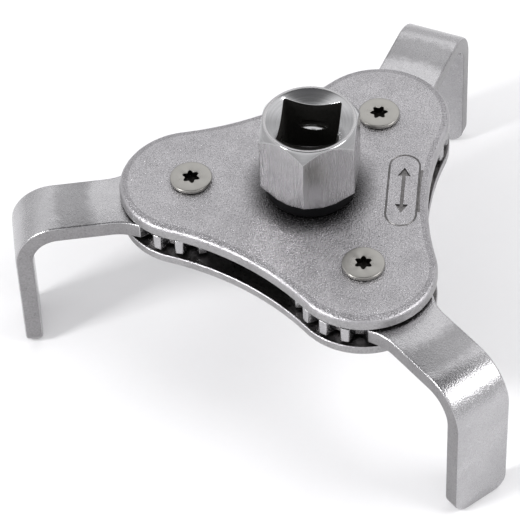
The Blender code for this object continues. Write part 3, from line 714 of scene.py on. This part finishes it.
def journal(seat):
    """Square seat of the sun gear, then the journal with its ring groove and chamfered end."""
    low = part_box("drive_socket")[0].z
    ring_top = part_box("retaining_ring")[1].z + FACE_GAP
    ring_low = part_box("retaining_ring")[0].z - FACE_GAP
    groove_radius = JOURNAL_RADIUS - RING_GROOVE_DEPTH
    seat_end = LOWER_PLATE_TOP + FACE_GAP
    return turned([(seat, PLATE_BOTTOM, 0.0), (seat, seat_end, 0.0), (JOURNAL_RADIUS, seat_end, 0.0),
                   (JOURNAL_RADIUS, ring_top, 0.0001), (groove_radius, ring_top, 0.0),
                   (groove_radius, ring_low, 0.0), (JOURNAL_RADIUS, ring_low, 0.0001),
                   (JOURNAL_RADIUS, low + JOURNAL_CHAMFER, 0.00015),
                   (JOURNAL_RADIUS - JOURNAL_CHAMFER, low, 0.00015), (0.0, low, 0.0)], 2)


def drive_profile(angle):
    """Profile of the drive at one angle: out from the socket's floor, over the rim, down to the journal."""
    wall = polygon_radius(angle - SQUARE_TURN + math.pi / 4, 4, SQUARE_HALF, SOCKET_CORNER)
    outer = polygon_radius(angle, 6, HEX_APOTHEM, HEX_CORNER)
    seat = polygon_radius(angle + math.pi / 4, 4, SEAT_HALF, SOCKET_CORNER)
    return socket_inside(wall) + hexagon_outside(wall, outer) + journal(seat)


SOCKET_FLOOR = (-0.0001, 0.002)
SQUARE_REACH = 1.45


def paint_socket(drive):
    """Give the drive its three materials: brushed flats, turned crown and mouth, and painted shade on the socket's
    walls and floor.
    """
    turned_finish = add_finish(drive, DRIVE_TURNED)
    shade_slot = add_finish(drive, SOCKET_PAINTED_SHADE)
    for face in drive.data.polygons:
        middle = face.center
        radius = Vector((middle.x, middle.y)).length
        steep = abs(face.normal.z) < 0.35
        inward = face.normal.x * middle.x + face.normal.y * middle.y < 0.0
        on_rim = abs(face.normal.z) > 0.9 and middle.z > RIM_LEVEL - 0.0002
        on_wall = middle.z > 0.0 and radius < MOUTH_RADIUS and inward and steep
        on_floor = SOCKET_FLOOR[0] < middle.z < SOCKET_FLOOR[1] and radius < SQUARE_HALF * SQUARE_REACH
        # Painted shade on the socket's walls and floor.
        if on_wall or on_floor:
            face.material_index = shade_slot
        elif not steep and not on_rim:
            face.material_index = turned_finish


drive_socket = column_solid("drive_socket_fine", drive_profile, DRIVE_COLUMNS, DRIVE_STEEL,
                            turn=DRIVE_TURN, smooth_angle=50.0)
paint_socket(drive_socket)
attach(drive_socket, "drive")
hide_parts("drive_socket")


COLLAR_EDGE = 0.0009
COLLAR_BORE_EDGE = 0.0003
COLLAR_SEGMENTS = 160


def make_collar():
    """Turned black collar with rounded edges."""
    low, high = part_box("drive_collar")
    inner = NECK_RADIUS + BORE_GAP
    corners = [(inner, low.z), (high.x, low.z), (high.x, high.z), (inner, high.z)]
    cuts = (COLLAR_BORE_EDGE, COLLAR_EDGE, COLLAR_EDGE, COLLAR_BORE_EDGE)
    profile = filleted(corners, cuts, 5, closed=True)
    collar = ring_solid("drive_collar_fine", profile, COLLAR_SEGMENTS, BLACK_NYLON)
    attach(collar, "drive")
    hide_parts("drive_collar")


make_collar()

# ---------------------------------------------------------------- jaw arms

DRIVE_TEETH = 15
ARM_TEETH = 18.5
MODULE = 2 * PIVOT_RADIUS / (DRIVE_TEETH + ARM_TEETH)
PRESSURE_ANGLE = math.radians(20.0)
TOOTH_ADDENDUM = 0.0009
TOOTH_DEDENDUM = 0.0017
TOOTH_BACKLASH = 0.00018
ROOT_WIDENING = math.radians(1.2)
FLANK_STEPS = 8
SHOULDER_RADIUS = 0.0157
SHOULDER_ANGLE = math.radians(35.0)
SHOULDER_STEP = math.radians(2.5)
FLARE_LENGTH = 0.0060
FLARE_STEPS = 12
BEND_RADIUS = 0.0060
BEND_STEPS = 28
JAW_CORNER = 0.0035
JAW_CORNER_STEPS = 12
TOOTH_ROUNDING = 0.0004
EDGE_ROUNDING = 0.0006
GRIP_AXIS = {side: MOUNTS["jaw_grip_" + side]["axis"] for side in sides()}
JAW_DIRECTION = {side: math.atan2(-axis[1], -axis[0]) for side, axis in GRIP_AXIS.items()}
ARM_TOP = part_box("jaw_arm_front")[1].z
ARM_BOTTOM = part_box("lower_washer_front")[1].z + FACE_GAP
JAW_INNER = (Vector(MOUNTS["jaw_grip_front"]["pos_m"]) - PIVOTS["jaw_front"]).to_2d().length
ARM_WIDTH = 0.01435
POINT_TOLERANCE = 1e-5
SIDEWAYS = 0.8


def tooth_points(centre):
    """One involute gear tooth about an angle."""
    pitch_radius = MODULE * ARM_TEETH / 2
    base = pitch_radius * math.cos(PRESSURE_ANGLE)
    root = pitch_radius - TOOTH_DEDENDUM
    tip = pitch_radius + TOOTH_ADDENDUM
    half_at_pitch = math.pi / (2 * ARM_TEETH) - TOOTH_BACKLASH / (4 * pitch_radius)
    flank = []
    for step in range(FLANK_STEPS + 1):
        radius = base + (tip - base) * step / FLANK_STEPS
        pressure = math.acos(min(1.0, base / radius))
        lean = math.tan(PRESSURE_ANGLE) - PRESSURE_ANGLE - math.tan(pressure) + pressure
        flank.append((radius, half_at_pitch + lean))
    flank.insert(0, (root, flank[0][1] + ROOT_WIDENING))
    polar = [(radius, centre - half) for radius, half in flank]
    polar += [(radius, centre + half) for radius, half in reversed(flank)]
    return [(radius * math.cos(angle), radius * math.sin(angle)) for radius, angle in polar]


def arm_outline(bend_start):
    """Flat outline of an arm up to its bend, along +X from the pivot."""
    half = ARM_WIDTH / 2
    pitch = 2 * math.pi / ARM_TEETH
    solid_end = SHOULDER_ANGLE + SHOULDER_STEP
    root = MODULE * ARM_TEETH / 2 - TOOTH_DEDENDUM
    corner = (SHOULDER_RADIUS * math.cos(SHOULDER_ANGLE), SHOULDER_RADIUS * math.sin(SHOULDER_ANGLE))
    start = corner[0] + FLARE_LENGTH
    side = [(bend_start, half)]
    for step in range(FLARE_STEPS + 1):
        t = step / FLARE_STEPS
        side.append((start - t * FLARE_LENGTH, half + t ** 2 * (corner[1] - half)))
    side.append((root * math.cos(solid_end), root * math.sin(solid_end)))
    centres = [math.pi + pitch * (i + 0.5) for i in range(-DRIVE_TEETH, DRIVE_TEETH)]
    first = solid_end + pitch / 2
    points = list(side)
    for centre in centres:
        if first <= centre <= 2 * math.pi - first:
            points += tooth_points(centre)
    points += [(x, -y) for x, y in reversed(side)]
    return points, start


def on_side(edge, flare_start):
    """Is this edge part of the long sides of an arm, out from its toothed root?"""
    first, second = (vert.co for vert in edge.verts)
    if min(first.x, second.x) > flare_start - POINT_TOLERANCE:
        return True
    along_flare = min(abs(first.y), abs(second.y)) > ARM_WIDTH / 2 - POINT_TOLERANCE
    level = abs(first.z - second.z) < POINT_TOLERANCE
    return along_flare and level and min(first.x, second.x) > flare_start - FLARE_LENGTH - POINT_TOLERANCE


def arm_steel(side):
    """Plated steel of one arm, with a painted dark reflection band where the strip leaves the plates, before the
    bend.
    """
    steel = plated_steel("arm_steel_" + side, (0.44, 0.435, 0.445), 0.24, 2800.0, 0.00007, 0.6)
    shade_by_distance(steel, PIVOTS["jaw_" + side], ARM_PAINTED_REFLECTION_EDGE, ARM_PAINTED_REFLECTION)
    return steel


def make_arm(side):
    """One jaw arm: toothed root, strip, bend and jaw with rounded edges."""
    bend_start = JAW_INNER - BEND_RADIUS
    outline, flare_start = arm_outline(bend_start)
    bm = bmesh.new()
    loft(bm, [[(x, y, level) for x, y in outline] for level in (ARM_BOTTOM, ARM_TOP)])
    bmesh.ops.recalc_face_normals(bm, faces=bm.faces)
    end_face = max(bm.faces, key=lambda face: face.calc_center_median().x)
    loop = list(end_face.verts)
    bm.faces.remove(end_face)
    hub = ARM_BOTTOM - BEND_RADIUS
    places = [(vert.co.z - hub, vert.co.y) for vert in loop]
    path = []
    for step in range(1, BEND_STEPS + 1):
        turn = math.pi / 2 * step / BEND_STEPS
        path.append([(bend_start + rise * math.sin(turn), y, hub + rise * math.cos(turn))
                     for rise, y in places])
    path.append([(bend_start + rise, y, FLOOR_LEVEL) for rise, y in places])
    for ring in path:
        grown = [bm.verts.new(point) for point in ring]
        for i in range(4):
            j = (i + 1) % 4
            bm.faces.new((loop[i], loop[j], grown[j], grown[i]))
        loop = grown
    bm.faces.new(loop)
    bmesh.ops.recalc_face_normals(bm, faces=bm.faces)
    corners = [edge for edge in bm.edges
               if all(vert.co.z < FLOOR_LEVEL + POINT_TOLERANCE for vert in edge.verts)
               and abs(edge.verts[0].co.y - edge.verts[1].co.y) < POINT_TOLERANCE]
    bmesh.ops.bevel(bm, geom=corners, offset=JAW_CORNER, segments=JAW_CORNER_STEPS,
                    profile=0.5, affect="EDGES")
    long_edges = [edge for edge in bm.edges
                  if on_side(edge, flare_start) and edge.calc_face_angle(0.0) > math.radians(60.0)]
    bmesh.ops.bevel(bm, geom=long_edges, offset=EDGE_ROUNDING, segments=5, profile=0.5, affect="EDGES")
    arm = mesh_object("jaw_arm_" + side + "_fine", bm, arm_steel(side))
    bore = hole_cutter(SLEEVE_RADIUS + BORE_GAP, (0.0, 0.0), ARM_BOTTOM, ARM_TOP, BORE_CHAMFER)
    subtract(arm, bore)
    sheared = add_finish(arm, ARM_EDGE)
    for face in arm.data.polygons:
        if face.center.x > flare_start - FLARE_LENGTH and abs(face.normal.y) > SIDEWAYS:
            face.material_index = sheared
    soften = arm.modifiers.new("tooth_edges", "BEVEL")
    soften.width = TOOTH_ROUNDING
    soften.segments = 3
    soften.limit_method = "ANGLE"
    soften.angle_limit = math.radians(50.0)
    swing = Matrix.Rotation(JAW_DIRECTION[side], 4, "Z")
    arm.data.transform(Matrix.Translation(PIVOTS["jaw_" + side]) @ swing)
    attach(arm, "jaw_" + side)
    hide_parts("jaw_arm_" + side)


for side in sides():
    make_arm(side)

# ---------------------------------------------------------------- pivots

STAR_RADIUS = 0.0020
STAR_LOBE = 0.00032
STAR_DEPTH = 0.0017
STAR_REACH = 1.3
STAR_TURN = 2.3
STAR_CONE = 0.0003
STAR_STEP = 0.0001
HEAD_ROUNDING = 0.00038
SHANK_CHAMFER = 0.0004
SCREW_COLUMNS = 144


def screw_profile(angle, low, high, radius):
    """Profile of a pivot screw at one angle, from the recess floor over the head and down the shank."""
    star = STAR_RADIUS - STAR_LOBE + STAR_LOBE * math.cos(6 * angle)
    seat = PLATE_TOP + FACE_GAP
    recess = high - STAR_DEPTH
    return turned([(0.0, recess - STAR_CONE, 0.0), (star * 0.5, recess - STAR_STEP, 0.0),
                   (star, recess, 0.0001), (star, high, 0.00012),
                   (radius, high, HEAD_ROUNDING), (radius, seat, 0.00012),
                   (SHANK_RADIUS, seat, 0.0), (SHANK_RADIUS, low + SHANK_CHAMFER, 0.0001),
                   (SHANK_RADIUS - SHANK_CHAMFER, low, 0.0001), (0.0, low, 0.0)], 4)


def make_pivot(side):
    """Fine pivot screw of one lobe; the sleeve and washers keep their shapes."""
    pivot = PIVOTS["jaw_" + side]
    low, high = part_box("pivot_screw_" + side)
    radius = (high.x - low.x) / 2
    steel = turned_steel("screw_steel_" + side, (0.32, 0.312, 0.295), 0.32, pivot, 6000.0, 0.000006, 0.30)
    screw = column_solid("pivot_screw_" + side + "_fine",
                         lambda angle: screw_profile(angle, low.z, high.z, radius), SCREW_COLUMNS, steel,
                         centre=pivot.to_2d(), turn=JAW_DIRECTION[side] * STAR_TURN)
    # Painted shade inside the star recess.
    shade_slot = add_finish(screw, RECESS_PAINTED_SHADE)
    for face in screw.data.polygons:
        inside = (face.center.xy - pivot.xy).length < STAR_RADIUS * 1.02
        if inside and high.z - STAR_DEPTH * STAR_REACH < face.center.z < high.z - HAIR:
            face.material_index = shade_slot
    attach(screw, "plates")
    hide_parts("pivot_screw_" + side)


for side in sides():
    make_pivot(side)


def finish_cad_piece(node, material):
    """A CAD piece that keeps its shape: joined points and a full material."""
    item = frame["nodes"][node]
    item.data.materials.clear()
    item.data.materials.append(material)
    join = item.modifiers.new("join", "WELD")
    join.merge_threshold = 0.00001


for side in sides():
    finish_cad_piece("pivot_sleeve_" + side, SLEEVE_STEEL)
    finish_cad_piece("upper_washer_" + side, WASHER_STEEL)
    finish_cad_piece("lower_washer_" + side, WASHER_STEEL)
finish_cad_piece("sun_gear", GEAR_STEEL)
finish_cad_piece("thrust_washer", WASHER_STEEL)
finish_cad_piece("retaining_ring", RING_STEEL)

# ---------------------------------------------------------------- studio

CAMERA_AZIMUTH = math.radians(-22.2)
CAMERA_ELEVATION = math.radians(47.24)
CAMERA_ROLL = math.radians(-2.76)
CAMERA_DISTANCE = 0.6233
CAMERA_LENS = 197.8
CAMERA_AIM = Vector((-0.01957, -0.01567, PLATE_TOP))
FLOOR_SIZE = 6.0
FLOOR_CLEARANCE = 0.0001


def camera_axes():
    """Right, up and backward directions of the camera."""
    back = Vector((math.sin(CAMERA_AZIMUTH) * math.cos(CAMERA_ELEVATION),
                   -math.cos(CAMERA_AZIMUTH) * math.cos(CAMERA_ELEVATION), math.sin(CAMERA_ELEVATION)))
    right = Vector((math.cos(CAMERA_AZIMUTH), math.sin(CAMERA_AZIMUTH), 0.0))
    up = back.cross(right)
    rolled_right = math.cos(CAMERA_ROLL) * right + math.sin(CAMERA_ROLL) * up
    rolled_up = -math.sin(CAMERA_ROLL) * right + math.cos(CAMERA_ROLL) * up
    return rolled_right, rolled_up, back


def make_camera():
    """Camera with a long lens above the front left of the wrench."""
    right, up, back = camera_axes()
    data = bpy.data.cameras.new("camera")
    data.lens = CAMERA_LENS
    data.sensor_width = 36.0
    data.clip_start = 0.01
    item = bpy.data.objects.new("camera", data)
    bpy.context.scene.collection.objects.link(item)
    turn = Matrix((right, up, back)).transposed().to_4x4()
    item.matrix_world = Matrix.Translation(CAMERA_AIM + back * CAMERA_DISTANCE) @ turn
    bpy.context.scene.camera = item


def studio_point(right, away, up):
    """A point given in the camera's ground directions, from the drive axis at floor level."""
    across = Vector((math.cos(CAMERA_AZIMUTH), math.sin(CAMERA_AZIMUTH), 0.0))
    ahead = Vector((-math.sin(CAMERA_AZIMUTH), math.cos(CAMERA_AZIMUTH), 0.0))
    return across * right + ahead * away + Vector((0.0, 0.0, FLOOR_LEVEL + up))


def soft_light(name, place, size, power, aim=(0.0, 0.0, 0.0), colour=(1.0, 1.0, 1.0)):
    """A square soft box that faces a point."""
    data = bpy.data.lights.new(name, "AREA")
    data.shape = "RECTANGLE"
    data.size = size[0]
    data.size_y = size[1]
    data.energy = power
    data.color = colour
    item = bpy.data.objects.new(name, data)
    bpy.context.scene.collection.objects.link(item)
    item.location = place
    item.rotation_euler = (Vector(aim) - place).to_track_quat("-Z", "Y").to_euler()


def make_floor():
    """Pale matt floor."""
    bm = bmesh.new()
    half = FLOOR_SIZE / 2
    ring = [(-half, -half), (half, -half), (half, half), (-half, half)]
    bm.faces.new([bm.verts.new((x, y, FLOOR_LEVEL - FLOOR_CLEARANCE)) for x, y in ring])
    material, shader = principled("floor", 0.0)
    place_group(material.node_tree, PLATED_GRAIN, shader,
                {"Colour": (0.81, 0.807, 0.815, 1.0), "Roughness": 0.9, "Grain Scale": 900.0,
                 "Grain Depth": 0.00001, "Mottle": 0.02})
    shader.inputs["Specular IOR Level"].default_value = 0.1
    shader.inputs["Emission Color"].default_value = (1.0, 1.0, 1.0, 1.0)
    shader.inputs["Emission Strength"].default_value = 0.04
    floor = mesh_object("floor", bm, material)


def make_world():
    """Surroundings with a bright band half way up, and darker overhead and near the horizon."""
    world = bpy.data.worlds.new("studio")
    world.use_nodes = True
    tree = world.node_tree
    place = tree.nodes.new("ShaderNodeTexCoord")
    split = tree.nodes.new("ShaderNodeSeparateXYZ")
    ramp = tree.nodes.new("ShaderNodeValToRGB")
    link(tree, place, "Generated", split, "Vector")
    link(tree, split, "Z", ramp, "Fac")
    link(tree, ramp, "Color", tree.nodes["Background"], "Color")
    stops = ramp.color_ramp.elements
    stops[0].position = 0.0
    stops[0].color = (0.90, 0.90, 0.91, 1.0)
    stops[1].position = 1.0
    stops[1].color = (0.16, 0.16, 0.17, 1.0)
    for position, value in ((0.35, 0.78), (0.58, 1.22), (0.80, 1.28), (0.90, 0.28)):
        stop = stops.new(position)
        stop.color = (value, value, value * 1.01, 1.0)
    bpy.context.scene.world = world


make_camera()
make_floor()
make_world()
soft_light("key", studio_point(-0.68, -0.32, 0.66), (0.20, 0.20), 4.8)
soft_light("back", studio_point(0.30, 0.80, 0.85), (0.9, 0.5), 0.5)
soft_light("side", studio_point(0.66, -0.22, 0.68), (0.40, 0.40), 3.2)
bpy.context.scene.view_settings.view_transform = "Standard"
